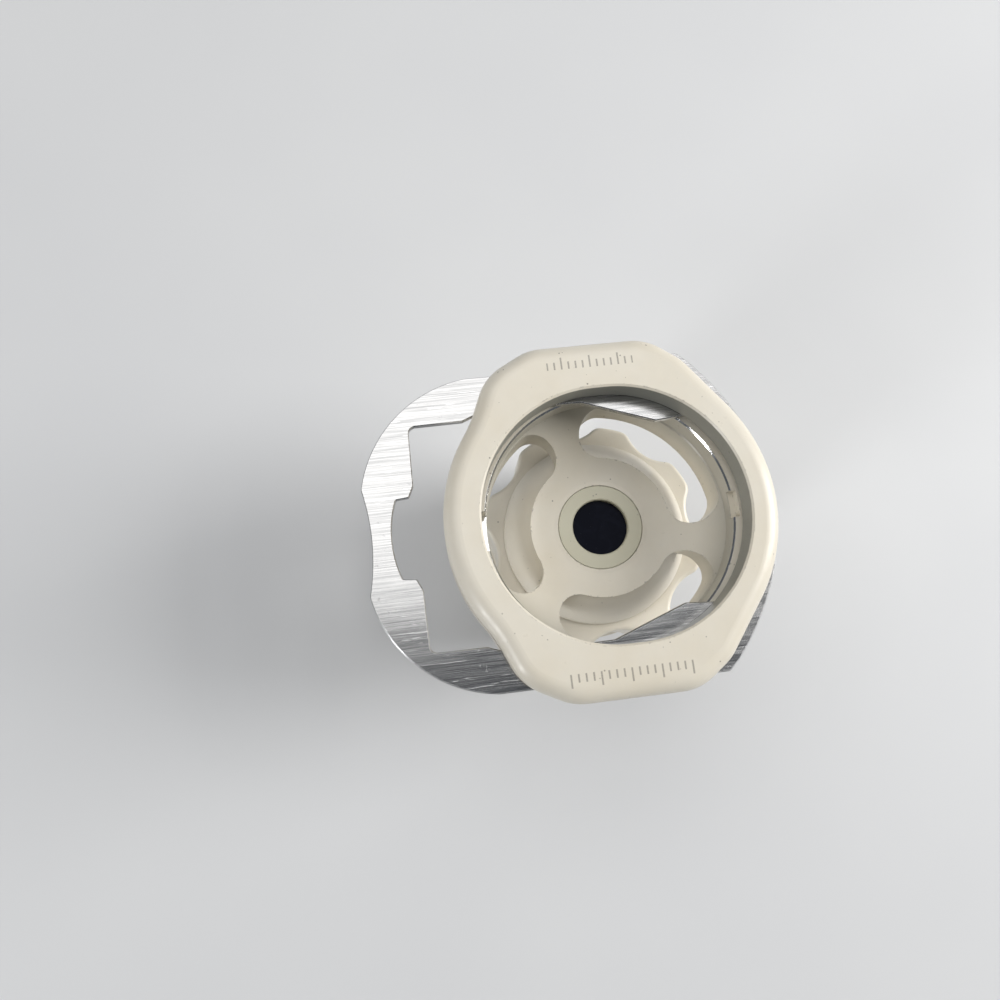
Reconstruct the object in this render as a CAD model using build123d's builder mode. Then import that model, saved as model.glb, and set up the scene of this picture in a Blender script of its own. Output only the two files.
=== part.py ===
"""Endoscope camera coupler: spring latch eyepiece clamp on a focusing C-mount lens.

The origin is on the optical axis at the camera flange. +Z points at the eyepiece,
and the thumb loop of the latch plate points along -X. Millimetres.
"""
from build123d import *
import os
from math import copysign, cos, radians, sin, sqrt

# Heights along the optical axis
SPIGOT_BOTTOM = -4.0
BASE_TOP = 7.6
RING_BOTTOM = 8.0
RING_TOP = 17.9
NECK_BOTTOM = 18.2
FLANGE_BOTTOM = 27.4
CUP_TOP = 31.2
COVER_BOTTOM = 32.4
COVER_TOP = 36.0

# Clamp head
HEAD_R = 21.2
HEAD_SHIFT = -0.4
EAR_Y = 22.6
EAR_TANGENT = 36.8
SEAT_R = 16.2
SEAT_BOTTOM = 28.0
OPENING_R = 16.13
OPENING_SHIFT = 0.76
NOTCH_FLOOR = 27.2
HUB_FACE = 23.5
SLOT_MID_R = 12.9
SLOT_HALF_WIDTH = 3.1
SLOT_SPAN = 74.0
SLOT_START = 46.0
SPOKE_START = 106.0

# Latch
PLATE_BOTTOM = 31.3
PLATE_TOP = 32.3
PLATE_HALF_Y = 20.3
SHOULDER_X = 8.7
SHOULDER_Y = 21.0
RAIL_HALF_X = 8.6
RAIL_INNER_Y = 20.4
SPRING_Y = 18.4
SPRING_Z = 29.95
SPRING_R = 1.1
WIRE = 0.3
GROOVE_WIDTH = 2.6
GROOVE_BOTTOM = 28.6
GROOVE_LEFT = -10.0
GROOVE_RIGHT = 10.0
PIN_X = -9.0
PIN_R = 0.9

# Cover screws
SCREW_X = 5.4
SCREW_SHIFT = -0.8
SCREW_Y = 21.3
SCREW_R = 0.6
SCREW_HEAD_R = 0.9
SCREW_HEAD_T = 0.8

# Front window
BEZEL_R = 5.87
APERTURE_R = 3.85
BEZEL_T = 0.9
GLASS_R = 4.95
GLASS_T = 1.15
SEAL_WIRE_R = 0.275
SEAL_R = 4.6
THROUGH_R = 4.1

# Barrel, focus ring and camera base
BARREL_R = 10.3
BARREL_BORE_R = 8.88
BARREL_BOTTOM = 2.6
BARREL_TOP = 21.1
HUB_UNDERSIDE = 19.6
NECK_R = 13.2
RING_BORE_R = 10.38
RING_LOBE_R = 16.2
RING_LOBES = 8
RING_LOBE_ANGLE = 27.0
SCALLOP_R = 6.2
SCALLOP_CENTRE_R = 20.6
BASE_R = 15.0
THREAD_R = 12.7
SPIGOT_BORE_R = 10.7

# Focus cam: 3 mm of lens travel for 120 degrees of ring
FOCUS_LIMIT = 60.0
CAM_PITCH = 9.0
CAM_Z = 12.2
CAM_PIN_R = 0.8
CAM_GROOVE = 1.8
CAM_GROOVE_R = 11.35
CAM_SPAN = 132.0
STOP_Z = 16.3
STOP_R = 0.7

# Lens cell
CELL_R = 8.8
CELL_BORE_R = 7.6
CELL_BOTTOM = 7.2
CELL_TOP = 17.2
LENS_R = 7.5
CROWN_RIM = (13.6, 15.2)
CROWN_VERTEX = (11.96, 16.52)
FLINT_BACK = 11.0
REAR_LENS_TOP = 9.9

FIT = 0.02
THIRD = 120.0


def save(part, name):
    """Label a finished piece and write it."""
    part.label = name
    export_step(part, f"parts/{name}.step")


def radial(angle, height, start):
    """Plane whose normal points outwards at an angle, set at a radius."""
    turn = radians(angle)
    outward = (cos(turn), sin(turn), 0)
    origin = (start * cos(turn), start * sin(turn), height)
    return Plane(origin=origin, x_dir=(-sin(turn), cos(turn), 0), z_dir=outward)


def half_plane(angle):
    """Plane through the optical axis at an angle: local x is radius, local y is height."""
    turn = radians(angle)
    return Plane(origin=(0, 0, 0), x_dir=(cos(turn), sin(turn), 0), z_dir=(sin(turn), -cos(turn), 0))


def lens_face(rim, vertex):
    """Profile of a spherical lens face centred on the axis, from its rim height to its vertex height."""
    sag = abs(vertex - rim)
    ball = (LENS_R**2 + sag**2) / (2 * sag)
    half = LENS_R / 2
    drop = copysign(ball - sqrt(ball**2 - half**2), vertex - rim)
    return ThreePointArc((LENS_R, rim), (half, vertex - drop), (0, vertex))


os.makedirs("parts", exist_ok=True)

# Head outline: a round body with two flat-topped ears, tangent to the round on the right
with BuildSketch() as head_outline:
    with BuildLine() as head_line:
        CenterArc((0, 0), HEAD_R, 0, EAR_TANGENT)
        tangent_point = head_line.edges()[0] @ 1
        FilletPolyline(
            tangent_point, (11.967, 19.393), (7.6, EAR_Y), (-8.0, EAR_Y), (-13.9, 19.5), (-16.01, 14.58),
            radius=7.0
        )
        left_arc = CenterArc((0, 0), HEAD_R, 145.5, 34.5)
        ThreePointArc((-16.01, 14.58), (-16.69, 13.25), left_arc @ 0)
        mirror(about=Plane.XZ)
    make_face()
head_shape = Pos(HEAD_SHIFT, 0, 0) * head_outline.sketch

# Kidney slot that drains the eyepiece cup
with BuildSketch() as kidney:
    with BuildLine() as kidney_line:
        CenterArc((0, 0), SLOT_MID_R, SLOT_START - SLOT_SPAN / 2, SLOT_SPAN)
    SlotArc(kidney_line.wire(), height=2 * SLOT_HALF_WIDTH)

# Cover ring
with BuildPart() as cover_ring:
    with BuildSketch(Plane.XY.offset(COVER_BOTTOM)):
        add(head_shape)
    extrude(amount=COVER_TOP - COVER_BOTTOM)
    fillet(cover_ring.faces().sort_by(Axis.Z)[-1].edges(), radius=2.2)
    chamfer(cover_ring.faces().sort_by(Axis.Z)[0].edges(), length=0.3)
    with BuildSketch(Plane.XY.offset(COVER_BOTTOM)):
        SlotCenterToCenter(2 * OPENING_SHIFT, 2 * OPENING_R)
    extrude(amount=COVER_TOP - COVER_BOTTOM, mode=Mode.SUBTRACT)
    chamfer(cover_ring.faces().sort_by(Axis.Z)[-1].inner_wires()[0].edges(), length=0.25)
    with Locations((SCREW_SHIFT, 0, COVER_BOTTOM)):
        with GridLocations(2 * SCREW_X, 2 * SCREW_Y, 2, 2):
            Cylinder(
                SCREW_R + FIT, 2.4, align=(Align.CENTER, Align.CENTER, Align.MIN), mode=Mode.SUBTRACT
            )
save(cover_ring.part, "cover_ring")

# Cup body: head flange, dished cup with three kidney slots, hub and neck in one turning
with BuildPart() as cup_body:
    with BuildSketch(Plane.XY.offset(FLANGE_BOTTOM)):
        add(head_shape)
    extrude(amount=CUP_TOP - FLANGE_BOTTOM)
    fillet(cup_body.faces().sort_by(Axis.Z)[0].edges(), radius=0.3)
    with BuildSketch(Plane.XZ):
        with BuildLine():
            Polyline((0, 20.2), (9.2, 20.2), (13.6, 21.4))
            Polyline((17.7, 24.9), (18.9, 27.2), (18.9, 28.4), (0, 28.4), (0, 20.2))
            ThreePointArc((13.6, 21.4), (15.9, 22.7), (17.7, 24.9))
        make_face()
    revolve(axis=Axis.Z)
    with BuildSketch(Plane.XZ):
        with BuildLine():
            Polyline(
                (SEAT_R, SEAT_BOTTOM), (SEAT_R, CUP_TOP + 1), (0, CUP_TOP + 1), (0, HUB_FACE), (6.5, HUB_FACE)
            )
            ThreePointArc((6.5, HUB_FACE), (11.6, 24.75), (SEAT_R, SEAT_BOTTOM))
        make_face()
    revolve(axis=Axis.Z, mode=Mode.SUBTRACT)
    chamfer(cup_body.edges().filter_by(GeomType.CIRCLE).filter_by(
        lambda e: abs(e.radius - SEAT_R) < 0.01 and abs(e.center().Z - CUP_TOP) < 0.01), length=0.2)
    with BuildSketch(Plane.XY.offset(NECK_BOTTOM)):
        with PolarLocations(0, 3):
            add(kidney.sketch)
    extrude(amount=SEAT_BOTTOM + 1.5 - NECK_BOTTOM, mode=Mode.SUBTRACT)
    with BuildSketch(Plane.XZ):
        with BuildLine():
            Polyline(
                (0, NECK_BOTTOM), (NECK_R, NECK_BOTTOM), (NECK_R - 0.1, 18.9), (9.7, 24.05),
                (8.5, 23.4), (0, 23.0), (0, NECK_BOTTOM)
            )
        make_face()
    revolve(axis=Axis.Z)
    # Barrel socket with a plug that fills the barrel's mouth
    with BuildSketch(Plane.XY.offset(NECK_BOTTOM)):
        Circle(BARREL_R + FIT)
    extrude(amount=BARREL_TOP - NECK_BOTTOM, mode=Mode.SUBTRACT)
    with BuildSketch(Plane.XY.offset(HUB_UNDERSIDE)):
        Circle(BARREL_BORE_R - 0.08)
    extrude(amount=BARREL_TOP - HUB_UNDERSIDE)
    # Window seat: bezel counterbore, glass pocket and clear hole
    with Locations((0, 0, HUB_FACE)):
        CounterBoreHole(GLASS_R + 0.05, BEZEL_R + 0.05, BEZEL_T, depth=BEZEL_T + GLASS_T + 2 * SEAL_WIRE_R)
        Hole(THROUGH_R, depth=HUB_FACE - HUB_UNDERSIDE + 1)
    # Rails that carry the cover and guide the plate
    with BuildSketch(Plane.XY.offset(CUP_TOP)):
        with Locations((0, (RAIL_INNER_Y + EAR_Y) / 2), (0, -(RAIL_INNER_Y + EAR_Y) / 2)):
            Rectangle(2 * RAIL_HALF_X, EAR_Y - RAIL_INNER_Y)
        add(head_shape, mode=Mode.INTERSECT)
    extrude(amount=COVER_BOTTOM - CUP_TOP)
    # Spring grooves
    with BuildSketch(Plane.XY.offset(GROOVE_BOTTOM)):
        with Locations(((GROOVE_LEFT + GROOVE_RIGHT) / 2, 0)):
            with GridLocations(0, 2 * SPRING_Y, 1, 2):
                Rectangle(GROOVE_RIGHT - GROOVE_LEFT, GROOVE_WIDTH)
    extrude(amount=CUP_TOP - GROOVE_BOTTOM, mode=Mode.SUBTRACT)
    # Witness notches in the seat rim on the slide axis
    with BuildSketch(Plane.XY.offset(NOTCH_FLOOR)):
        with Locations((-SEAT_R, 0)):
            Rectangle(1.6, 5.2)
    extrude(amount=CUP_TOP - NOTCH_FLOOR, mode=Mode.SUBTRACT)
    with BuildSketch(Plane.XY.offset(CUP_TOP - 1.3)):
        with Locations((SEAT_R, 0)):
            Rectangle(1.6, 3.5)
    extrude(amount=1.3, mode=Mode.SUBTRACT)
    # Screw holes from beneath the ears
    with Locations(Plane(origin=(SCREW_SHIFT, 0, FLANGE_BOTTOM), z_dir=(0, 0, -1))):
        with GridLocations(2 * SCREW_X, 2 * SCREW_Y, 2, 2):
            CounterBoreHole(SCREW_R + FIT, SCREW_HEAD_R + 0.05, SCREW_HEAD_T + 0.1, depth=8)
    # Set screw holes through the neck, under the spokes
    for turn in range(3):
        with BuildSketch(radial(SPOKE_START + turn * THIRD, 19.9, BARREL_R - 1.0)):
            Circle(0.8 + FIT)
        extrude(amount=5.0, mode=Mode.SUBTRACT)
save(cup_body.part, "cup_body")

# Cover screws, driven from beneath
with BuildPart() as cover_screws:
    with Locations((SCREW_SHIFT, 0, FLANGE_BOTTOM + 0.1)):
        with GridLocations(2 * SCREW_X, 2 * SCREW_Y, 2, 2):
            Cylinder(SCREW_HEAD_R, SCREW_HEAD_T, align=(Align.CENTER, Align.CENTER, Align.MIN))
            Cylinder(SCREW_R, 7.1, align=(Align.CENTER, Align.CENTER, Align.MIN))
    with BuildSketch(Plane.XY.offset(FLANGE_BOTTOM + 0.1)):
        with Locations((SCREW_SHIFT, 0)):
            with GridLocations(2 * SCREW_X, 2 * SCREW_Y, 2, 2):
                RegularPolygon(0.45, 6)
    extrude(amount=0.5, mode=Mode.SUBTRACT)
save(cover_screws.part, "cover_screws")

# Front window stack
with BuildPart() as window_bezel:
    with BuildSketch(Plane.XY.offset(HUB_FACE - BEZEL_T)):
        Circle(BEZEL_R)
        Circle(APERTURE_R, mode=Mode.SUBTRACT)
    extrude(amount=BEZEL_T)
    chamfer(window_bezel.faces().sort_by(Axis.Z)[-1].outer_wire().edges(), length=0.08)
    chamfer(window_bezel.faces().sort_by(Axis.Z)[-1].inner_wires()[0].edges(), length=0.15)
save(window_bezel.part, "window_bezel")

with BuildPart() as window_glass:
    with BuildSketch(Plane.XY.offset(HUB_FACE - BEZEL_T - GLASS_T)):
        Circle(GLASS_R)
    extrude(amount=GLASS_T)
save(window_glass.part, "window_glass")

with BuildPart() as window_seal:
    with BuildSketch(Plane.XZ):
        with Locations((SEAL_R, HUB_FACE - BEZEL_T - GLASS_T - SEAL_WIRE_R)):
            Circle(SEAL_WIRE_R)
    revolve(axis=Axis.Z)
save(window_seal.part, "window_seal")

# Fixed barrel with straight slots for the cam pins
with BuildPart() as barrel:
    with BuildSketch(Plane.XY.offset(BARREL_BOTTOM)):
        Circle(BARREL_R)
        Circle(BARREL_BORE_R, mode=Mode.SUBTRACT)
    extrude(amount=BARREL_TOP - BARREL_BOTTOM)
    for turn in range(3):
        with BuildSketch(radial(SLOT_START + turn * THIRD, CAM_Z, BARREL_BORE_R - 1.0)):
            SlotOverall(5.0, 2 * CAM_PIN_R + 0.1, rotation=90)
        extrude(amount=3.0, mode=Mode.SUBTRACT)
    with BuildSketch(radial(SPOKE_START, STOP_Z, BARREL_BORE_R - 1.0)):
        Circle(STOP_R + FIT)
    extrude(amount=3.0, mode=Mode.SUBTRACT)
save(barrel.part, "barrel")

with BuildPart() as focus_stop_pin:
    with BuildSketch(radial(SPOKE_START, STOP_Z, BARREL_BORE_R + 0.1)):
        Circle(STOP_R)
    extrude(amount=2.5)
save(focus_stop_pin.part, "focus_stop_pin")

with BuildPart() as neck_set_screws:
    for turn in range(3):
        with BuildSketch(radial(SPOKE_START + turn * THIRD, 19.9, BARREL_R + 0.03)):
            Circle(0.8)
        extrude(amount=1.7)
        with BuildSketch(radial(SPOKE_START + turn * THIRD, 19.9, BARREL_R + 1.13)):
            RegularPolygon(0.4, 6)
        extrude(amount=0.7, mode=Mode.SUBTRACT)
save(neck_set_screws.part, "neck_set_screws")

# Camera base: flange, threaded spigot and rear window seat
with BuildPart() as c_mount_ring:
    with BuildSketch(Plane.XZ):
        with BuildLine():
            Polyline(
                (BARREL_R + FIT, BASE_TOP), (13.7, BASE_TOP), (BASE_R, 6.3), (BASE_R, 0), (THREAD_R, 0),
                (THREAD_R, SPIGOT_BOTTOM + 0.25), (THREAD_R - 0.25, SPIGOT_BOTTOM),
                (SPIGOT_BORE_R, SPIGOT_BOTTOM), (SPIGOT_BORE_R, -0.5), (10.25, -0.5), (10.25, 1.6),
                (8.9, 1.6), (8.9, BARREL_BOTTOM), (BARREL_R + FIT, BARREL_BOTTOM),
                (BARREL_R + FIT, BASE_TOP)
            )
        make_face()
    revolve(axis=Axis.Z)
    for turn in range(3):
        with BuildSketch(radial(SLOT_START + turn * THIRD, 5.0, BARREL_R - 1.0)):
            Circle(1.0 + FIT)
        extrude(amount=7.0, mode=Mode.SUBTRACT)
save(c_mount_ring.part, "c_mount_ring")

with BuildPart() as c_mount_set_screws:
    for turn in range(3):
        with BuildSketch(radial(SLOT_START + turn * THIRD, 5.0, BARREL_R + 0.03)):
            Circle(1.0)
        extrude(amount=4.2)
        with BuildSketch(radial(SLOT_START + turn * THIRD, 5.0, BARREL_R + 3.13)):
            RegularPolygon(0.5, 6)
        extrude(amount=1.2, mode=Mode.SUBTRACT)
save(c_mount_set_screws.part, "c_mount_set_screws")

with BuildPart() as rear_window:
    with BuildSketch(Plane.XY.offset(-0.5)):
        Circle(10.2)
    extrude(amount=1.5)
save(rear_window.part, "rear_window")

with BuildPart() as rear_seal:
    with BuildSketch(Plane.XZ):
        with Locations((9.7, 1.3)):
            Circle(0.3)
    revolve(axis=Axis.Z)
save(rear_seal.part, "rear_seal")

with BuildPart() as rear_retaining_ring:
    with BuildSketch(Plane.XY.offset(-2.0)):
        Circle(SPIGOT_BORE_R - 0.03)
        Circle(8.8, mode=Mode.SUBTRACT)
    extrude(amount=1.5)
    with BuildSketch(Plane.XY.offset(-2.0)):
        with PolarLocations(9.7, 2):
            Rectangle(2.4, 1.0)
    extrude(amount=0.8, mode=Mode.SUBTRACT)
save(rear_retaining_ring.part, "rear_retaining_ring")

# Friction washers above and below the focus ring
with BuildPart() as lower_friction_washer:
    with BuildSketch(Plane.XY.offset(BASE_TOP)):
        Circle(13.4)
        Circle(BARREL_R + 0.15, mode=Mode.SUBTRACT)
    extrude(amount=0.3)
save(lower_friction_washer.part, "lower_friction_washer")

with BuildPart() as upper_friction_washer:
    with BuildSketch(Plane.XY.offset(RING_TOP + 0.05)):
        Circle(NECK_R - 0.2)
        Circle(BARREL_R + 0.15, mode=Mode.SUBTRACT)
    extrude(amount=NECK_BOTTOM - RING_TOP - 0.05)
save(upper_friction_washer.part, "upper_friction_washer")

# Cutter for one helical cam groove
with BuildPart() as cam_groove:
    with BuildLine() as cam_line:
        rise = CAM_PITCH * CAM_SPAN / 360
        Helix(CAM_PITCH, rise, (RING_BORE_R + CAM_GROOVE_R) / 2, center=(0, 0, CAM_Z - rise / 2))
    cam_path = cam_line.wire()
    with BuildSketch(Plane(origin=cam_path @ 0, x_dir=(1, 0, 0), z_dir=cam_path % 0)):
        Rectangle(CAM_GROOVE_R - RING_BORE_R + 0.2, CAM_GROOVE)
    sweep(path=cam_path, is_frenet=True)

# Focus ring: scalloped grip, three cam grooves and the stop groove
with BuildPart() as focus_ring:
    with BuildSketch(Plane.XY.offset(RING_BOTTOM)):
        Circle(RING_LOBE_R)
        with PolarLocations(SCALLOP_CENTRE_R, RING_LOBES, start_angle=RING_LOBE_ANGLE + 180 / RING_LOBES):
            Circle(SCALLOP_R, mode=Mode.SUBTRACT)
        fillet(vertices(), radius=2.0)
    extrude(amount=RING_TOP - RING_BOTTOM)
    fillet(focus_ring.faces().sort_by(Axis.Z)[-1].edges(), radius=0.6)
    fillet(focus_ring.faces().sort_by(Axis.Z)[0].edges(), radius=0.6)
    with BuildSketch(Plane.XY.offset(RING_BOTTOM)):
        Circle(RING_BORE_R)
    extrude(amount=RING_TOP - RING_BOTTOM, mode=Mode.SUBTRACT)
    with PolarLocations(0, 3, start_angle=SLOT_START - CAM_SPAN / 2):
        add(cam_groove.part, mode=Mode.SUBTRACT)
    with BuildSketch(half_plane(SPOKE_START - FOCUS_LIMIT - 5)):
        with Locations((11.0, STOP_Z)):
            Rectangle(1.5, 2 * STOP_R + 0.3)
    revolve(axis=Axis.Z, revolution_arc=2 * (FOCUS_LIMIT + 5), mode=Mode.SUBTRACT)
save(focus_ring.part, "focus_ring")

# Moving lens cell and its cam pins
with BuildPart() as lens_cell:
    with BuildSketch(Plane.XY.offset(CELL_BOTTOM)):
        Circle(CELL_R)
        Circle(CELL_BORE_R, mode=Mode.SUBTRACT)
    extrude(amount=CELL_TOP - CELL_BOTTOM)
    with BuildSketch(Plane.XY.offset(16.6)):
        Circle(CELL_R)
        Circle(6.0, mode=Mode.SUBTRACT)
    extrude(amount=CELL_TOP - 16.6)
    for turn in range(3):
        with BuildSketch(radial(SLOT_START + turn * THIRD, CAM_Z, 7.7)):
            Circle(CAM_PIN_R + FIT)
        extrude(amount=2.0, mode=Mode.SUBTRACT)
save(lens_cell.part, "lens_cell")

with BuildPart() as cam_pins:
    for turn in range(3):
        with BuildSketch(radial(SLOT_START + turn * THIRD, CAM_Z, 7.8)):
            Circle(CAM_PIN_R)
        extrude(amount=3.4)
save(cam_pins.part, "cam_pins")

# Cemented front doublet, spacer, rear lens, stop and retaining ring
with BuildPart() as front_crown_lens:
    with BuildSketch(Plane.XZ):
        with BuildLine():
            lens_face(CROWN_RIM[1], CROWN_VERTEX[1])
            lens_face(CROWN_RIM[0], CROWN_VERTEX[0])
            Line((0, CROWN_VERTEX[0]), (0, CROWN_VERTEX[1]))
            Line((LENS_R, CROWN_RIM[0]), (LENS_R, CROWN_RIM[1]))
        make_face()
    revolve(axis=Axis.Z)
save(front_crown_lens.part, "front_crown_lens")

with BuildPart() as front_flint_lens:
    with BuildSketch(Plane.XZ):
        with BuildLine():
            lens_face(CROWN_RIM[0], CROWN_VERTEX[0])
            Polyline((0, CROWN_VERTEX[0]), (0, FLINT_BACK), (LENS_R, FLINT_BACK), (LENS_R, CROWN_RIM[0]))
        make_face()
    revolve(axis=Axis.Z)
save(front_flint_lens.part, "front_flint_lens")

with BuildPart() as lens_spacer:
    with BuildSketch(Plane.XY.offset(REAR_LENS_TOP)):
        Circle(CELL_BORE_R - 0.05)
        Circle(6.9, mode=Mode.SUBTRACT)
    extrude(amount=FLINT_BACK - REAR_LENS_TOP)
save(lens_spacer.part, "lens_spacer")

with BuildPart() as rear_lens:
    with BuildSketch(Plane.XZ):
        with BuildLine():
            lens_face(8.9, 8.19)
            Polyline((0, 8.19), (0, REAR_LENS_TOP), (LENS_R, REAR_LENS_TOP), (LENS_R, 8.9))
        make_face()
    revolve(axis=Axis.Z)
save(rear_lens.part, "rear_lens")

with BuildPart() as lens_retaining_ring:
    with BuildSketch(Plane.XY.offset(7.4)):
        Circle(CELL_BORE_R - 0.03)
        Circle(6.6, mode=Mode.SUBTRACT)
    extrude(amount=1.25)
save(lens_retaining_ring.part, "lens_retaining_ring")

with BuildPart() as aperture_stop:
    with BuildSketch(Plane.XZ):
        with BuildLine():
            Polyline(
                (7.0, 15.42), (CELL_BORE_R - 0.05, 15.42), (CELL_BORE_R - 0.05, 16.6), (4.5, 16.6),
                (4.5, 16.35), (7.0, 16.35), (7.0, 15.42)
            )
        make_face()
    revolve(axis=Axis.Z)
save(aperture_stop.part, "aperture_stop")

# Latch plate window: notched thumb opening on the left, sloped jaws on the right
with BuildSketch() as latch_window:
    with BuildLine():
        ThreePointArc((-28.2, 0), (-27.97, 2.6), (-27.3, 5.05))
        Polyline((-27.3, 5.05), (-25.6, 5.2), (-24.9, 6.7), (-24.8, 14.45))
        Polyline((-24.8, 14.45), (-17.8, 14.5), (-13.3, 16.2), (-5.6, 16.2), (-5.2, 15.5))
        Polyline((-5.2, 15.5), (-1.9, 15.45), (7.6, 12.0), (11.96, 12.35))
        ThreePointArc((11.96, 12.35), (15.94, 6.63), (17.3, 0))
        mirror(about=Plane.XZ)
    make_face()
    fillet(latch_window.vertices().filter_by(lambda v: abs(v.Y) > 14.4 and v.X < -24), radius=0.9)
    fillet(latch_window.vertices().filter_by(lambda v: abs(v.Y) < 7 and v.X < -24), radius=0.35)

# Latch plate
with BuildPart() as latch_plate:
    with BuildSketch(Plane.XY.offset(PLATE_BOTTOM)) as plate_sketch:
        with BuildLine():
            ThreePointArc((-30.75, 0), (-30.98, 3.6), (-31.55, 6.8))
            ThreePointArc((-31.55, 6.8), (-26.4, 15.95), (-17.0, PLATE_HALF_Y))
            Polyline((-17.0, PLATE_HALF_Y), (SHOULDER_X, PLATE_HALF_Y), (SHOULDER_X, SHOULDER_Y))
            Polyline((SHOULDER_X, SHOULDER_Y), (11.8, SHOULDER_Y), (13.2, 19.7))
            ThreePointArc((13.2, 19.7), (17.2, 14.3), (20.0, 8.5))
            ThreePointArc((20.0, 8.5), (20.75, 4.3), (21.0, 0))
            mirror(about=Plane.XZ)
        make_face()
        fillet(plate_sketch.vertices().filter_by(lambda v: v.X < -31), radius=0.8)
        fillet(plate_sketch.vertices().filter_by(lambda v: v.X > 11 and abs(v.Y) > 2), radius=0.5)
        add(latch_window.sketch, mode=Mode.SUBTRACT)
    extrude(amount=PLATE_TOP - PLATE_BOTTOM)
    chamfer(latch_plate.faces().sort_by(Axis.Z)[-1].edges(), length=0.12)
    chamfer(latch_plate.faces().sort_by(Axis.Z)[0].edges(), length=0.12)
    with Locations((PIN_X, SPRING_Y, PLATE_TOP), (PIN_X, -SPRING_Y, PLATE_TOP)):
        Hole(PIN_R + FIT, depth=2)
save(latch_plate.part, "latch_plate")

with BuildPart() as latch_pins:
    with BuildSketch(Plane.XY.offset(GROOVE_BOTTOM + 0.5)):
        with Locations((PIN_X, SPRING_Y), (PIN_X, -SPRING_Y)):
            Circle(PIN_R)
    extrude(amount=PLATE_TOP - GROOVE_BOTTOM - 0.55)
save(latch_pins.part, "latch_pins")

# Compression springs, as plain sleeves between pin and groove end
for side, name in ((1, "latch_spring_upper"), (-1, "latch_spring_lower")):
    left = PIN_X + PIN_R + 0.02
    with BuildPart() as spring:
        with BuildSketch(Plane(origin=(left, side * SPRING_Y, SPRING_Z), z_dir=(1, 0, 0))):
            Circle(SPRING_R)
            Circle(SPRING_R - WIRE, mode=Mode.SUBTRACT)
        extrude(amount=GROOVE_RIGHT - left)
    save(spring.part, name)
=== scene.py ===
"""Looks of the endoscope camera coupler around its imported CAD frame. Metres, optical axis along Z."""
import math

import bmesh
import bpy
from mathutils import Matrix, Vector


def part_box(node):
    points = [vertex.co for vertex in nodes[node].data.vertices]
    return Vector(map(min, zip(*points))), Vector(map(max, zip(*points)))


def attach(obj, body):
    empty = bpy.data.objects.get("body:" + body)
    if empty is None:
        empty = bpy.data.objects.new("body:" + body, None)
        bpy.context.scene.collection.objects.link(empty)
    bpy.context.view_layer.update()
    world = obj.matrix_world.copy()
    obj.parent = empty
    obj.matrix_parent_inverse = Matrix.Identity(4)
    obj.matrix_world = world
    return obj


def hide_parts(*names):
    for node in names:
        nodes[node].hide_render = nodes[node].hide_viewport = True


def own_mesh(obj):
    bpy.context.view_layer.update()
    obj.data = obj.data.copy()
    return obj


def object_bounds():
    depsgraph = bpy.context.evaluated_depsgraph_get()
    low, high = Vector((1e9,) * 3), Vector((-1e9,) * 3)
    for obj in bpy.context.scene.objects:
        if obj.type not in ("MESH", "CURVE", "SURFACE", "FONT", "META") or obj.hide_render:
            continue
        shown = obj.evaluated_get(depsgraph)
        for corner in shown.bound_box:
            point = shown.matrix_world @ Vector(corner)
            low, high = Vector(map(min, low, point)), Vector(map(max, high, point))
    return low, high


MM = 0.001

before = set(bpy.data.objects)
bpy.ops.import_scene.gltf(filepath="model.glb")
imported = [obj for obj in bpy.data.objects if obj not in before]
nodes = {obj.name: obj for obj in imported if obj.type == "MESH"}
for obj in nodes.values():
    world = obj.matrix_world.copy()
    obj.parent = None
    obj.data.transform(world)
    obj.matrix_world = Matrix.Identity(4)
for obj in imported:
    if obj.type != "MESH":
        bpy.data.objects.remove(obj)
cad_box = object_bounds()


# Camera ------------------------------------------------------------------------------------------

COVER_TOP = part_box("cover_ring")[1][2]
CAMERA_PLACE = Vector((-21.076 * MM, -14.859 * MM, COVER_TOP + 92.585 * MM))
CAMERA_AIM = Vector((-14.367 * MM, 2.915 * MM, COVER_TOP))
CAMERA_UP = Vector((0.10765, 0.97489, 0.19494))


def make_camera():
    data = bpy.data.cameras.new("camera")
    data.sensor_width = 36.0
    data.lens = 27.72
    data.clip_start = 0.005
    data.clip_end = 20.0
    camera = bpy.data.objects.new("camera", data)
    bpy.context.scene.collection.objects.link(camera)
    back = (CAMERA_PLACE - CAMERA_AIM).normalized()
    right = CAMERA_UP.cross(back).normalized()
    up = back.cross(right)
    turn = Matrix((right, up, back)).transposed().to_4x4()
    camera.matrix_world = Matrix.Translation(CAMERA_PLACE) @ turn
    bpy.context.scene.camera = camera


# Node tree helpers -------------------------------------------------------------------------------

def new_material(name):
    material = bpy.data.materials.new(name)
    material.use_nodes = True
    tree = material.node_tree
    return material, tree, tree.nodes["Principled BSDF"]


def add(tree, kind, **settings):
    node = tree.nodes.new(kind)
    for key, value in settings.items():
        setattr(node, key, value)
    return node


def object_coords(tree, scale=(1, 1, 1)):
    """Object coordinates in millimetres, stretched by scale."""
    coords = add(tree, "ShaderNodeTexCoord")
    mapping = add(tree, "ShaderNodeMapping")
    mapping.inputs["Scale"].default_value = [s / MM for s in scale]
    tree.links.new(coords.outputs["Object"], mapping.inputs["Vector"])
    return mapping.outputs["Vector"]


def noise(tree, vector, scale, detail=3.0, roughness=0.55, distortion=0.0):
    node = add(tree, "ShaderNodeTexNoise")
    node.inputs["Scale"].default_value = scale
    node.inputs["Detail"].default_value = detail
    node.inputs["Roughness"].default_value = roughness
    node.inputs["Distortion"].default_value = distortion
    tree.links.new(vector, node.inputs["Vector"])
    return node.outputs["Fac"]


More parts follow.
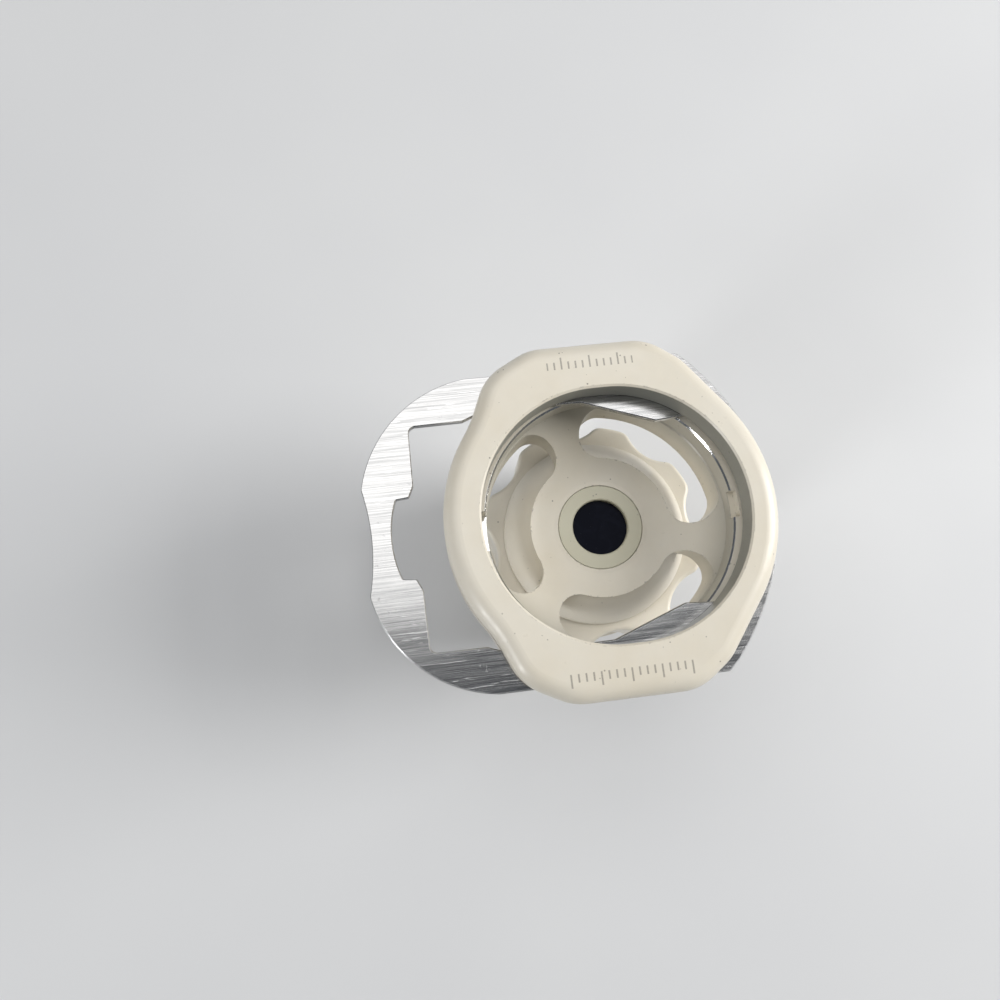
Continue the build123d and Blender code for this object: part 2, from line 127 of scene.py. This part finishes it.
def voronoi(tree, vector, scale):
    """Distance to the nearest of a field of scattered points."""
    node = add(tree, "ShaderNodeTexVoronoi")
    node.inputs["Scale"].default_value = scale
    node.inputs["Randomness"].default_value = 1.0
    tree.links.new(vector, node.inputs["Vector"])
    return node.outputs["Distance"]


def ramp(tree, value, low, high, out_low=0.0, out_high=1.0):
    node = add(tree, "ShaderNodeMapRange", clamp=True)
    node.inputs["From Min"].default_value = low
    node.inputs["From Max"].default_value = high
    node.inputs["To Min"].default_value = out_low
    node.inputs["To Max"].default_value = out_high
    tree.links.new(value, node.inputs["Value"])
    return node.outputs["Result"]


def math_node(tree, operation, a, b=0.0):
    node = add(tree, "ShaderNodeMath", operation=operation)
    for index, value in enumerate((a, b)):
        if isinstance(value, (int, float)):
            node.inputs[index].default_value = value
        else:
            tree.links.new(value, node.inputs[index])
    return node.outputs[0]


def product(tree, *factors):
    total = factors[0]
    for factor in factors[1:]:
        total = math_node(tree, "MULTIPLY", total, factor)
    return total


def within(tree, value, low, high, soft):
    """1 where value lies between low and high, with soft edges."""
    rise = ramp(tree, value, low - soft, low + soft)
    fall = ramp(tree, value, high - soft, high + soft, 1.0, 0.0)
    return math_node(tree, "MULTIPLY", rise, fall)


def mix(tree, factor, a, b):
    """Colour a where factor is 0 and b where it is 1."""
    node = add(tree, "ShaderNodeMix", data_type="RGBA")
    factor_socket, a_socket, b_socket = node.inputs[0], node.inputs[6], node.inputs[7]
    for socket, value in ((factor_socket, factor), (a_socket, a), (b_socket, b)):
        if isinstance(value, (int, float)):
            socket.default_value = value
        elif isinstance(value, (tuple, list)):
            socket.default_value = (*value, 1.0)
        else:
            tree.links.new(value, socket)
    return node.outputs[2]


def bump(tree, shader, height, strength, distance, chain=None):
    node = add(tree, "ShaderNodeBump")
    node.inputs["Strength"].default_value = strength
    node.inputs["Distance"].default_value = distance
    tree.links.new(height, node.inputs["Height"])
    if chain is not None:
        tree.links.new(chain, node.inputs["Normal"])
    tree.links.new(node.outputs["Normal"], shader.inputs["Normal"])
    return node.outputs["Normal"]


def edge_mask(tree, radius, low, high):
    """1 on sharp edges, from how far a rounded normal leans away from the surface's own."""
    rounded = add(tree, "ShaderNodeBevel", samples=6)
    rounded.inputs["Radius"].default_value = radius
    geometry = add(tree, "ShaderNodeNewGeometry")
    dot = add(tree, "ShaderNodeVectorMath", operation="DOT_PRODUCT")
    tree.links.new(rounded.outputs["Normal"], dot.inputs[0])
    tree.links.new(geometry.outputs["Normal"], dot.inputs[1])
    return ramp(tree, dot.outputs["Value"], high, low)


# Materials ---------------------------------------------------------------------------------------

# Factors that darken the ivory on turned walls: painted shade.
WALL_SHADE_FACTORS = (0.34, 0.36, 0.37)
BORE_BLACK = (0.012, 0.012, 0.014)


def ivory_anodised(name, colour, marks=None, machined=None, dark_bore=None, shaded=None):
    """Bead blasted, hard anodised aluminium with specks, faint stains and worn edges.

    marks, machined, dark_bore and shaded are functions that return a mask: for etched ticks,
    for bare machined faces, for the blackened bore behind the window and for painted shade on
    turned walls, where the ivory is darkened to stand for the shade that falls there.
    """
    material, tree, shader = new_material(name)
    place = object_coords(tree)
    stain = ramp(tree, noise(tree, place, 0.12, 4.0), 0.35, 0.7)
    cloud = ramp(tree, noise(tree, place, 0.9, 5.0, 0.6), 0.3, 0.75)
    grain = noise(tree, place, 9.0, 2.0)
    light = tuple(min(1.0, c * 1.05) for c in colour)
    warm = (colour[0] * 0.97, colour[1] * 0.94, colour[2] * 0.88)
    base = mix(tree, math_node(tree, "MULTIPLY", stain, 0.6), light, warm)
    base = mix(tree, math_node(tree, "MULTIPLY", cloud, 0.10), base, (0.55, 0.54, 0.50))
    specks = voronoi(tree, place, 0.9)
    speck_size = ramp(tree, noise(tree, place, 0.5, 2.0), 0.42, 0.72, 0.0, 0.13)
    speck = math_node(tree, "LESS_THAN", specks, speck_size)
    base = mix(tree, math_node(tree, "MULTIPLY", speck, 0.7), base, (0.13, 0.12, 0.10))
    if shaded:
        # Painted shade: the turned walls get a darker ivory, standing for the shade that falls on them.
        wall_shade_colour = tuple(c * f for c, f in zip(colour, WALL_SHADE_FACTORS))
        base = mix(tree, shaded(tree), base, wall_shade_colour)
    edge = edge_mask(tree, 0.35 * MM, 0.90, 0.995)
    chip = ramp(tree, noise(tree, place, 1.7, 6.0, 0.7), 0.54, 0.62)
    scuff = math_node(tree, "MULTIPLY", edge, chip)
    base = mix(tree, math_node(tree, "MULTIPLY", scuff, 0.85), base, (0.24, 0.22, 0.20))
    if machined:
        bare = machined(tree)
        base = mix(tree, bare, base, (0.86, 0.86, 0.85))
    if marks:
        etched = product(tree, marks(tree), ramp(tree, grain, 0.25, 0.55, 0.55, 1.0))
        base = mix(tree, math_node(tree, "MULTIPLY", etched, 0.72), base, (0.20, 0.185, 0.165))
    if dark_bore:
        base = mix(tree, dark_bore(tree), base, BORE_BLACK)
    tree.links.new(base, shader.inputs["Base Color"])
    if machined:
        tree.links.new(bare, shader.inputs["Metallic"])
    rough = ramp(tree, cloud, 0.0, 1.0, 0.27, 0.38)
    if machined:
        rough = math_node(tree, "SUBTRACT", rough, math_node(tree, "MULTIPLY", bare, 0.22))
    tree.links.new(rough, shader.inputs["Roughness"])
    shader.inputs["Specular IOR Level"].default_value = 0.45
    blast = bump(tree, shader, grain, 0.12, 0.02 * MM)
    bump(tree, shader, math_node(tree, "ADD", speck, scuff), 0.25, -0.03 * MM, blast)
    return material


def brushed_steel(name):
    """Stainless sheet brushed along X, with stray scratches and a painted highlight: lighter, rougher edges.
    """
    material, tree, shader = new_material(name)
    fine = noise(tree, object_coords(tree, (0.10, 9.0, 2.0)), 1.0, 5.0, 0.65)
    broad = noise(tree, object_coords(tree, (0.05, 1.6, 1.0)), 1.0, 4.0, 0.6)
    scratch_field = noise(tree, object_coords(tree, (0.22, 5.0, 1.0)), 1.0, 2.0, 0.5, 0.6)
    scratches = ramp(tree, scratch_field, 0.66, 0.70)
    dings = ramp(tree, noise(tree, object_coords(tree), 0.8, 6.0, 0.75), 0.64, 0.70)
    tone = mix(tree, ramp(tree, fine, 0.32, 0.68), (0.33, 0.335, 0.34), (0.70, 0.70, 0.70))
    tone = mix(tree, math_node(tree, "MULTIPLY", scratches, 0.7), tone, (0.92, 0.92, 0.92))
    edge = edge_mask(tree, 0.10 * MM, 0.90, 0.99)
    # Painted highlight: the edges get a near-white colour, standing for the light they catch.
    tone = mix(tree, edge, tone, (0.97, 0.97, 0.97))
    tree.links.new(tone, shader.inputs["Base Color"])
    shader.inputs["Metallic"].default_value = 1.0
    grain_rough = ramp(tree, fine, 0.25, 0.75, 0.15, 0.27)
    rough = math_node(tree, "ADD", grain_rough, ramp(tree, broad, 0.3, 0.7, -0.03, 0.05))
    rough = math_node(tree, "ADD", rough, math_node(tree, "MULTIPLY", dings, 0.18))
    rough = math_node(tree, "ADD", rough, math_node(tree, "MULTIPLY", edge, 0.25))
    tree.links.new(rough, shader.inputs["Roughness"])
    shader.inputs["Anisotropic"].default_value = 0.55
    tangent = add(tree, "ShaderNodeTangent", direction_type="RADIAL", axis="Y")
    tree.links.new(tangent.outputs["Tangent"], shader.inputs["Tangent"])
    brushed = bump(tree, shader, fine, 0.20, 0.012 * MM)
    bump(tree, shader, math_node(tree, "ADD", scratches, dings), 0.25, -0.01 * MM, brushed)
    return material


def turned_metal(name, colour, rough):
    """Small turned part: fine rings and a little dirt."""
    material, tree, shader = new_material(name)
    place = object_coords(tree)
    grime = ramp(tree, noise(tree, place, 1.2, 5.0, 0.6), 0.35, 0.75)
    dark = tuple(c * 0.62 for c in colour)
    tone = mix(tree, math_node(tree, "MULTIPLY", grime, 0.5), colour, dark)
    tree.links.new(tone, shader.inputs["Base Color"])
    shader.inputs["Metallic"].default_value = 1.0
    tree.links.new(ramp(tree, grime, 0.0, 1.0, rough, rough + 0.14), shader.inputs["Roughness"])
    bump(tree, shader, noise(tree, object_coords(tree, (1, 1, 14)), 1.0, 3.0), 0.12, 0.01 * MM)
    return material


def black_anodised(name):
    material, tree, shader = new_material(name)
    place = object_coords(tree)
    dust = ramp(tree, noise(tree, place, 2.5, 5.0, 0.7), 0.5, 0.8)
    tone = mix(tree, math_node(tree, "MULTIPLY", dust, 0.25), BORE_BLACK, (0.06, 0.06, 0.06))
    tree.links.new(tone, shader.inputs["Base Color"])
    tree.links.new(ramp(tree, dust, 0.0, 1.0, 0.42, 0.6), shader.inputs["Roughness"])
    bump(tree, shader, noise(tree, place, 8.0, 2.0), 0.1, 0.02 * MM)
    return material


def coated_window(name):
    """Opaque window: its near-black colour stands for the interior seen through the glass, partly that
    interior's own black and partly painted shade; almost no reflection, with a faint smear.
    """
    material, tree, shader = new_material(name)
    place = object_coords(tree)
    smear = ramp(tree, noise(tree, place, 0.55, 4.0, 0.6, 1.2), 0.45, 0.8)
    dust = math_node(tree, "LESS_THAN", voronoi(tree, place, 1.6), 0.045)
    # Painted shade of the dark interior behind the glass, a little lighter where the smear lies.
    interior_shade_and_smear = mix(tree, math_node(tree, "MULTIPLY", smear, 0.5), (0.0035, 0.0045, 0.010), (0.010, 0.012, 0.022))
    dusty = mix(tree, math_node(tree, "MULTIPLY", dust, 0.5), interior_shade_and_smear, (0.12, 0.12, 0.13))
    tree.links.new(dusty, shader.inputs["Base Color"])
    tree.links.new(ramp(tree, smear, 0.0, 1.0, 0.03, 0.12), shader.inputs["Roughness"])
    shader.inputs["Specular IOR Level"].default_value = 0.03
    return material


def lens_glass(name):
    material, tree, shader = new_material(name)
    smear = ramp(tree, noise(tree, object_coords(tree), 0.4, 3.0), 0.4, 0.8)
    tree.links.new(mix(tree, smear, (0.93, 0.95, 0.97), (0.80, 0.84, 0.90)), shader.inputs["Base Color"])
    tree.links.new(ramp(tree, smear, 0.0, 1.0, 0.0, 0.05), shader.inputs["Roughness"])
    shader.inputs["Transmission Weight"].default_value = 1.0
    shader.inputs["IOR"].default_value = 1.6
    return material


def seal_rubber(name):
    material, tree, shader = new_material(name)
    bloom = ramp(tree, noise(tree, object_coords(tree), 3.0, 4.0), 0.4, 0.8)
    tree.links.new(mix(tree, bloom, (0.015, 0.015, 0.015), (0.05, 0.05, 0.05)), shader.inputs["Base Color"])
    tree.links.new(ramp(tree, bloom, 0.0, 1.0, 0.5, 0.7), shader.inputs["Roughness"])
    return material


def washer_plastic(name):
    material, tree, shader = new_material(name)
    tone = ramp(tree, noise(tree, object_coords(tree), 1.5, 4.0), 0.3, 0.8)
    tree.links.new(mix(tree, tone, (0.78, 0.77, 0.74), (0.66, 0.65, 0.62)), shader.inputs["Base Color"])
    tree.links.new(ramp(tree, tone, 0.0, 1.0, 0.45, 0.6), shader.inputs["Roughness"])
    return material


def floor_material(name):
    material, tree, shader = new_material(name)
    tone = ramp(tree, noise(tree, object_coords(tree), 0.01, 3.0), 0.3, 0.7)
    tree.links.new(mix(tree, tone, (0.66, 0.67, 0.68), (0.62, 0.63, 0.645)), shader.inputs["Base Color"])
    tree.links.new(ramp(tree, tone, 0.0, 1.0, 0.6, 0.75), shader.inputs["Roughness"])
    return material


# Masks on the ivory parts ------------------------------------------------------------------------

def axis_values(tree):
    """x, y, z and distance from the optical axis, in millimetres."""
    split = add(tree, "ShaderNodeSeparateXYZ")
    tree.links.new(object_coords(tree), split.inputs[0])
    x, y, z = split.outputs
    across = math_node(tree, "ADD", math_node(tree, "MULTIPLY", x, x), math_node(tree, "MULTIPLY", y, y))
    return x, y, z, math_node(tree, "SQRT", across)


# Millimetres from the optical axis, or from the level that each mask names.
TICK_ROOT = 18.9
TICK_SHORT = 19.9
TICK_LONG = 20.5
TICK_PITCH = 0.92
TICK_HALF_WIDTH = 0.11
TICKS_PER_LONG = 4
UPPER_TICKS = (-0.8, 5.6)
LOWER_TICKS = (-1.2, 7.5)
RIM_BELOW_PLATE = 0.1
CHAMFER_RADII = (16.18, 16.42)
NOTCH_START = -15.3
NOTCH_HALF_WIDTH = 2.61
NOTCH_DEPTH = 4.0
COVER_OPENING = 17.0
DISH_TO_WALL = (12.5, 16.15)
WALL_TO_CHAMFER = (16.25, 16.3)
BORE_REACH = 8.6


def tick_row(tree, x, y, centre, half_length):
    """A row of etched ticks along X, every fourth one longer."""
    along = math_node(tree, "SUBTRACT", x, centre)
    inside = math_node(tree, "LESS_THAN", math_node(tree, "ABSOLUTE", along), half_length)
    step = math_node(tree, "DIVIDE", along, TICK_PITCH)
    off_line = math_node(tree, "SUBTRACT", step, math_node(tree, "ROUND", step))
    line = math_node(tree, "LESS_THAN", math_node(tree, "ABSOLUTE", off_line), TICK_HALF_WIDTH / TICK_PITCH)
    number = math_node(tree, "ABSOLUTE", math_node(tree, "ROUND", step))
    is_long = math_node(tree, "LESS_THAN", math_node(tree, "FLOORED_MODULO", number, TICKS_PER_LONG), 0.5)
    extra = math_node(tree, "MULTIPLY", is_long, TICK_LONG - TICK_SHORT)
    reach = math_node(tree, "ADD", extra, TICK_SHORT)
    height = math_node(tree, "ABSOLUTE", y)
    below = math_node(tree, "LESS_THAN", height, reach)
    above = math_node(tree, "GREATER_THAN", height, TICK_ROOT)
    return product(tree, inside, line, below, above)


def cover_marks(tree):
    """A row of ticks on each ear's top face."""
    x, y, z, _ = axis_values(tree)
    on_top = math_node(tree, "GREATER_THAN", z, COVER_TOP / MM - 0.3)
    upper_row = tick_row(tree, x, y, *UPPER_TICKS)
    upper = product(tree, upper_row, math_node(tree, "GREATER_THAN", y, 0.0))
    lower_row = tick_row(tree, x, y, *LOWER_TICKS)
    lower = product(tree, lower_row, math_node(tree, "LESS_THAN", y, 0.0))
    return product(tree, math_node(tree, "ADD", upper, lower), on_top)


def seat_chamfer(tree):
    """Bare metal on the machined chamfer round the seat's rim, and on the left notch's floor."""
    x, y, z, radius = axis_values(tree)
    rim_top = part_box("latch_plate")[0][2] / MM - RIM_BELOW_PLATE
    ring = within(tree, radius, *CHAMFER_RADII, 0.02)
    level = within(tree, z, rim_top - 0.22, rim_top + 0.05, 0.02)
    chamfer = math_node(tree, "MULTIPLY", ring, level)
    at_left = math_node(tree, "LESS_THAN", x, NOTCH_START)
    across = math_node(tree, "LESS_THAN", math_node(tree, "ABSOLUTE", y), NOTCH_HALF_WIDTH)
    floor = rim_top - NOTCH_DEPTH
    at_floor = within(tree, z, floor - 0.05, floor + 0.1, 0.03)
    return math_node(tree, "MAXIMUM", chamfer, product(tree, at_left, across, at_floor))


def cover_wall_shade(tree):
    """Mask for painted shade on the cover's turned opening wall, below its top chamfer."""
    _, _, z, radius = axis_values(tree)
    top = COVER_TOP / MM
    inner = ramp(tree, radius, COVER_OPENING - 0.02, COVER_OPENING + 0.02, 1.0, 0.0)
    below_chamfer = ramp(tree, z, top - 0.35, top - 0.2, 1.0, 0.0)
    return math_node(tree, "MULTIPLY", inner, below_chamfer)


def cup_wall_shade(tree):
    """Mask for painted shade on the seat's turned wall, half strength at most, fading out into the dish
    below it.
    """
    _, _, z, radius = axis_values(tree)
    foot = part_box("window_bezel")[1][2] / MM
    outward = ramp(tree, radius, *DISH_TO_WALL)
    upward = ramp(tree, z, foot + 0.8, foot + 4.8, 0.0, 0.5)
    inside_chamfer = ramp(tree, radius, *WALL_TO_CHAMFER, 1.0, 0.0)
    return product(tree, outward, upward, inside_chamfer)


def window_bore(tree):
    """Black inside the hub, behind the bezel."""
    _, _, z, radius = axis_values(tree)
    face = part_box("window_bezel")[0][2] / MM
    narrow = math_node(tree, "LESS_THAN", radius, BORE_REACH)
    deep = math_node(tree, "LESS_THAN", z, face - 0.02)
    return math_node(tree, "MULTIPLY", narrow, deep)


# Pieces ------------------------------------------------------------------------------------------

def link_mesh(name, mesh, material, body):
    mesh.materials.clear()
    mesh.materials.append(material)
    for face in mesh.polygons:
        face.use_smooth = True
    piece = bpy.data.objects.new(name, mesh)
    bpy.context.scene.collection.objects.link(piece)
    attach(piece, body)
    return piece


def skin(mesh, rings, following_rings):
    """Faces between each ring of points and the one that follows it."""
    for ring, following in zip(rings, following_rings):
        for side in range(len(ring)):
            beside = (side + 1) % len(ring)
            mesh.faces.new((ring[side], ring[beside], following[beside], following[side]))


def mesh_data(mesh, name):
    data = bpy.data.meshes.new(name)
    mesh.to_mesh(data)
    mesh.free()
    return data


WIRE_SIDES = 10


def tube_mesh(name, path, radius):
    """Closed round wire along a list of points."""
    mesh = bmesh.new()
    rings = []
    side_way = Vector((1, 0, 0))
    for index, point in enumerate(path):
        ahead = path[min(index + 1, len(path) - 1)] - path[max(index - 1, 0)]
        ahead.normalize()
        out = side_way.cross(ahead).normalized()
        other = ahead.cross(out)
        ring = []
        for side in range(WIRE_SIDES):
            turn = 2 * math.pi * side / WIRE_SIDES
            ring.append(mesh.verts.new(point + radius * (math.cos(turn) * out + math.sin(turn) * other)))
        rings.append(ring)
    skin(mesh, rings, rings[1:])
    mesh.faces.new(list(reversed(rings[0])))
    mesh.faces.new(rings[-1])
    bmesh.ops.recalc_face_normals(mesh, faces=mesh.faces)
    return mesh_data(mesh, name)


WIRE_RADIUS = 0.15 * MM
ACTIVE_TURNS = 15
CLOSED_TURNS = 1.5
STEPS_PER_TURN = 26


def latch_spring(node, material):
    """Compression spring with closed ends, in the box of its CAD sleeve."""
    low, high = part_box(node)
    coil = (high[2] - low[2]) / 2 - WIRE_RADIUS
    centre = Vector(((low[0] + high[0]) / 2, (low[1] + high[1]) / 2, (low[2] + high[2]) / 2))
    length = high[0] - low[0] - 2 * WIRE_RADIUS
    steps = int((ACTIVE_TURNS + 2 * CLOSED_TURNS) * STEPS_PER_TURN)
    closed_pitch = 2.1 * WIRE_RADIUS
    active_length = length - 2 * CLOSED_TURNS * closed_pitch
    path = []
    for step in range(steps + 1):
        turns = step / STEPS_PER_TURN
        first = min(turns, CLOSED_TURNS)
        middle = min(max(turns - CLOSED_TURNS, 0), ACTIVE_TURNS)
        last = max(turns - CLOSED_TURNS - ACTIVE_TURNS, 0)
        along = (first + last) * closed_pitch + middle * active_length / ACTIVE_TURNS
        turn = 2 * math.pi * turns
        y, z = centre.y + coil * math.cos(turn), centre.z + coil * math.sin(turn)
        path.append(Vector((low[0] + WIRE_RADIUS + along, y, z)))
    wire = tube_mesh(node, path, WIRE_RADIUS)
    piece = link_mesh(f"{node}_coil", wire, material, "body")
    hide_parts(node)
    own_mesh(piece)


# The camera base, in millimetres: its outline as (radius, height), split by the thread between.
BASE_OUTSIDE = [(10.32, 7.6), (13.7, 7.6), (15.0, 6.3), (15.0, 0.0)]
BASE_INSIDE = [(12.45, -4.0), (10.7, -4.0), (10.7, -0.5), (10.25, -0.5), (10.25, 1.6), (8.9, 1.6),
               (8.9, 2.6), (10.32, 2.6)]
BASE_SIDES = 192
THREAD_CREST = 12.7
THREAD_PITCH = 0.79375
THREAD_DEPTH = 0.43
THREAD_FLAT = 0.12
THREAD_FOOT = -3.75
THREAD_RUN_OUT = 0.45
THREAD_LEAD_IN = 0.3
ROWS_PER_PITCH = 12
SCREW_HOLE_TURNS = (46, 166, 286)
SCREW_HOLE_HEIGHT = 5.0
SCREW_HOLE_R = 1.02


def thread_cut(height, turn_share):
    """How far below the crest the thread lies, with a flat crest and root and faded ends."""
    groove = 1 - abs(2 * ((height / THREAD_PITCH + turn_share) % 1.0) - 1)
    groove = min(max((groove - THREAD_FLAT) / (1 - 2 * THREAD_FLAT), 0.0), 1.0)
    fade = min(1.0, -height / THREAD_RUN_OUT, (height - THREAD_FOOT) / THREAD_LEAD_IN)
    return THREAD_DEPTH * groove * fade


def base_blank(node):
    """The camera base without its set screw holes."""
    rows = int(-THREAD_FOOT / THREAD_PITCH * ROWS_PER_PITCH)
    thread = [(THREAD_CREST, THREAD_FOOT * row / rows) for row in range(rows + 1)]
    mesh = bmesh.new()
    rings = []
    for radius, height in BASE_OUTSIDE + thread + BASE_INSIDE:
        ring = []
        for side in range(BASE_SIDES):
            turn = 2 * math.pi * side / BASE_SIDES
            cut = thread_cut(height, side / BASE_SIDES) if radius == THREAD_CREST else 0.0
            reach = (radius - cut) * MM
            ring.append(mesh.verts.new((reach * math.cos(turn), reach * math.sin(turn), height * MM)))
        rings.append(ring)
    skin(mesh, rings, rings[1:] + rings[:1])
    bmesh.ops.recalc_face_normals(mesh, faces=mesh.faces)
    return mesh_data(mesh, node)


def screw_drill():
    """Three radial rods, the size of the set screw holes."""
    drill = bmesh.new()
    outward = Matrix.Translation((12.8 * MM, 0, SCREW_HOLE_HEIGHT * MM))
    outward = outward @ Matrix.Rotation(math.radians(90), 4, "Y")
    for turn in SCREW_HOLE_TURNS:
        place = Matrix.Rotation(math.radians(turn), 4, "Z") @ outward
        bmesh.ops.create_cone(drill, cap_ends=True, segments=40, radius1=SCREW_HOLE_R * MM,
                              radius2=SCREW_HOLE_R * MM, depth=7.0 * MM, matrix=place)
    return mesh_data(drill, "drill")


def threaded_base(node, material):
    """The camera base as a lathe mesh with its 1-32 thread cut round the spigot."""
    blank = bpy.data.objects.new("blank", base_blank(node))
    cutter = bpy.data.objects.new("cutter", screw_drill())
    for tool in (blank, cutter):
        bpy.context.scene.collection.objects.link(tool)
    holes = blank.modifiers.new("holes", "BOOLEAN")
    holes.operation = "DIFFERENCE"
    holes.solver = "EXACT"
    holes.object = cutter
    graph = bpy.context.evaluated_depsgraph_get()
    drilled = bpy.data.meshes.new_from_object(blank.evaluated_get(graph))
    for tool in (blank, cutter):
        bpy.data.objects.remove(tool)
    drilled.name = f"{node}_threaded"
    piece = link_mesh(f"{node}_threaded", drilled, material, "body")
    drilled.set_sharp_from_angle(angle=math.radians(35))
    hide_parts(node)


def dress_cad_nodes(finish):
    for name, material in finish.items():
        node = nodes[name]
        node.data.materials.clear()
        node.data.materials.append(material)


# Stage -------------------------------------------------------------------------------------------

FLOOR_HALF = 1.5


def make_floor(material):
    bottom = cad_box[0][2]
    corners = [(x * FLOOR_HALF, y * FLOOR_HALF, bottom) for x, y in ((-1, -1), (1, -1), (1, 1), (-1, 1))]
    mesh = bpy.data.meshes.new("floor")
    mesh.from_pydata(corners, [], [(0, 1, 2, 3)])
    mesh.materials.append(material)
    floor = bpy.data.objects.new("floor", mesh)
    bpy.context.scene.collection.objects.link(floor)


WARM_WHITE = (1.0, 0.985, 0.965)


def soft_light(name, place, aim, size, power, colour=(1, 1, 1)):
    data = bpy.data.lights.new(name, "AREA")
    data.shape = "RECTANGLE"
    data.size, data.size_y = size
    data.energy = power
    data.color = colour
    light = bpy.data.objects.new(name, data)
    bpy.context.scene.collection.objects.link(light)
    light.location = place
    light.rotation_euler = (Vector(aim) - Vector(place)).to_track_quat("-Z", "Y").to_euler()


def make_lights():
    world = bpy.data.worlds.new("studio")
    bpy.context.scene.world = world
    world.use_nodes = True
    background = world.node_tree.nodes["Background"]
    background.inputs["Color"].default_value = (0.80, 0.86, 0.95, 1.0)
    background.inputs["Strength"].default_value = 0.11
    soft_light("overhead_back", (-0.20, 0.265, 0.60), (-0.20, 0.20, 0.0), (0.90, 0.49), 2.5, WARM_WHITE)
    soft_light("side_right", (0.55, 0.02, 0.30), (0.0, 0.0, 0.02), (0.28, 0.5), 4.6, WARM_WHITE)
    soft_light("side_left", (-0.50, -0.32, 0.20), (0.0, 0.0, 0.02), (0.10, 0.30), 1.5)


# Build -------------------------------------------------------------------------------------------

make_camera()
bpy.context.scene.view_settings.view_transform = "Standard"

IVORY = (0.69, 0.65, 0.56)
# The cover and cup materials carry painted shade on their turned walls.
cover_finish = ivory_anodised("ivory_anodised_cover_painted_shade", IVORY, marks=cover_marks, shaded=cover_wall_shade)
cup_finish = ivory_anodised(
    "ivory_anodised_cup_painted_shade", IVORY, machined=seat_chamfer, dark_bore=window_bore, shaded=cup_wall_shade)
ivory_finish = ivory_anodised("ivory_anodised_plain", IVORY)
bezel_finish = ivory_anodised("bezel_anodised", (0.55, 0.535, 0.42))
screw_finish = turned_metal("stainless_screw", (0.62, 0.62, 0.63), 0.28)
black_finish = black_anodised("black_anodised")
glass_finish = lens_glass("lens_glass")
rubber_finish = seal_rubber("seal_rubber")
washer_finish = washer_plastic("washer_plastic")

dress_cad_nodes({
    "cover_ring": cover_finish,
    "cup_body": cup_finish,
    "focus_ring": ivory_finish,
    "window_bezel": bezel_finish,
    "window_glass": coated_window("window_glass"),
    "window_seal": rubber_finish,
    "rear_seal": rubber_finish,
    "rear_window": coated_window("rear_window_glass"),
    "latch_plate": brushed_steel("brushed_stainless"),
    "latch_pins": screw_finish,
    "cover_screws": screw_finish,
    "neck_set_screws": screw_finish,
    "c_mount_set_screws": screw_finish,
    "focus_stop_pin": screw_finish,
    "cam_pins": turned_metal("brass_pin", (0.80, 0.60, 0.28), 0.25),
    "barrel": black_finish,
    "lens_cell": black_finish,
    "lens_spacer": black_finish,
    "lens_retaining_ring": black_finish,
    "rear_retaining_ring": black_finish,
    "aperture_stop": black_finish,
    "front_crown_lens": glass_finish,
    "front_flint_lens": glass_finish,
    "rear_lens": glass_finish,
    "upper_friction_washer": washer_finish,
    "lower_friction_washer": washer_finish,
})

spring_finish = turned_metal("spring_steel", (0.55, 0.55, 0.56), 0.3)
for spring_node in ("latch_spring_upper", "latch_spring_lower"):
    latch_spring(spring_node, spring_finish)

threaded_base("c_mount_ring", ivory_finish)

make_floor(floor_material("floor"))
make_lights()
